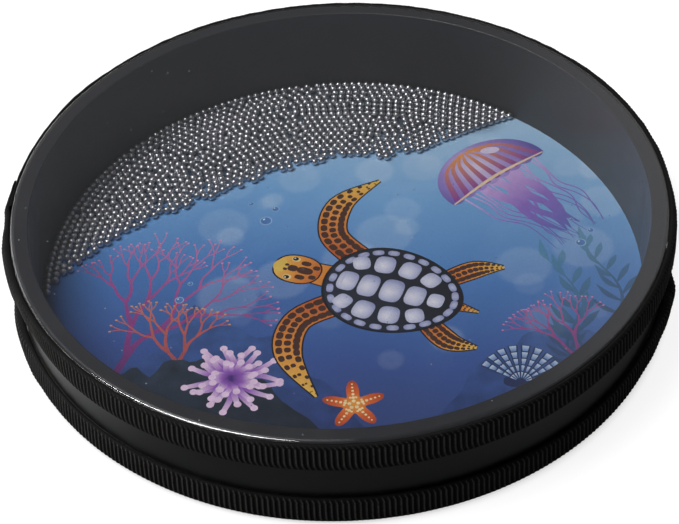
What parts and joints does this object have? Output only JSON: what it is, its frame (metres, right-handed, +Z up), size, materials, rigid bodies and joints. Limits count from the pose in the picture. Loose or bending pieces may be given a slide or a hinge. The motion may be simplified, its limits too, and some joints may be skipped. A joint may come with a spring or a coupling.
{
  "type": "ocean drum",
  "caption": "Shallow round frame drum with a clear film head, a picture sheet at the bottom and loose steel shot sealed inside that sounds like surf when it rolls.",
  "frame": {"origin": "centre of the flat underside, on the face that the drum rests on", "axes": "+Z up along the drum's axis, from the picture to the clear head; -Y towards the viewer and +X to the viewer's right, so the shot at rest lies at the far left"},
  "size_m": [0.2532, 0.2522, 0.0395],
  "materials": {
    "lacquered_wood": "black lacquer, satin",
    "clear_film": "clear polyester film, glossy",
    "glue": "dried contact glue",
    "grosgrain": "ribbed black grosgrain ribbon",
    "printed_picture": "glossy print of an underwater scene",
    "steel": "polished steel balls"
  },
  "bodies": {
    "drum": {"shell": "lacquered_wood", "top_head": "clear_film", "top_head_glue": "glue", "top_ribbon": "grosgrain", "top_ribbon_glue": "glue", "bottom_head": "clear_film", "bottom_head_glue": "glue", "bottom_ribbon": "grosgrain", "bottom_ribbon_glue": "glue", "picture_sheet": "printed_picture"},
    "shot": {"steel_shot_1": "steel", "steel_shot_2": "steel", "steel_shot_3": "steel", "steel_shot_4": "steel", "steel_shot_5": "steel", "steel_shot_6": "steel", "steel_shot_7": "steel", "steel_shot_8": "steel"}
  },
  "joints": [
    {"name": "shot_swirl", "type": "hinge", "parent": "drum", "child": "shot", "pos_m": [0, 0, 0.002], "axis": [0, 0, 1], "continuous": true}
  ]
}
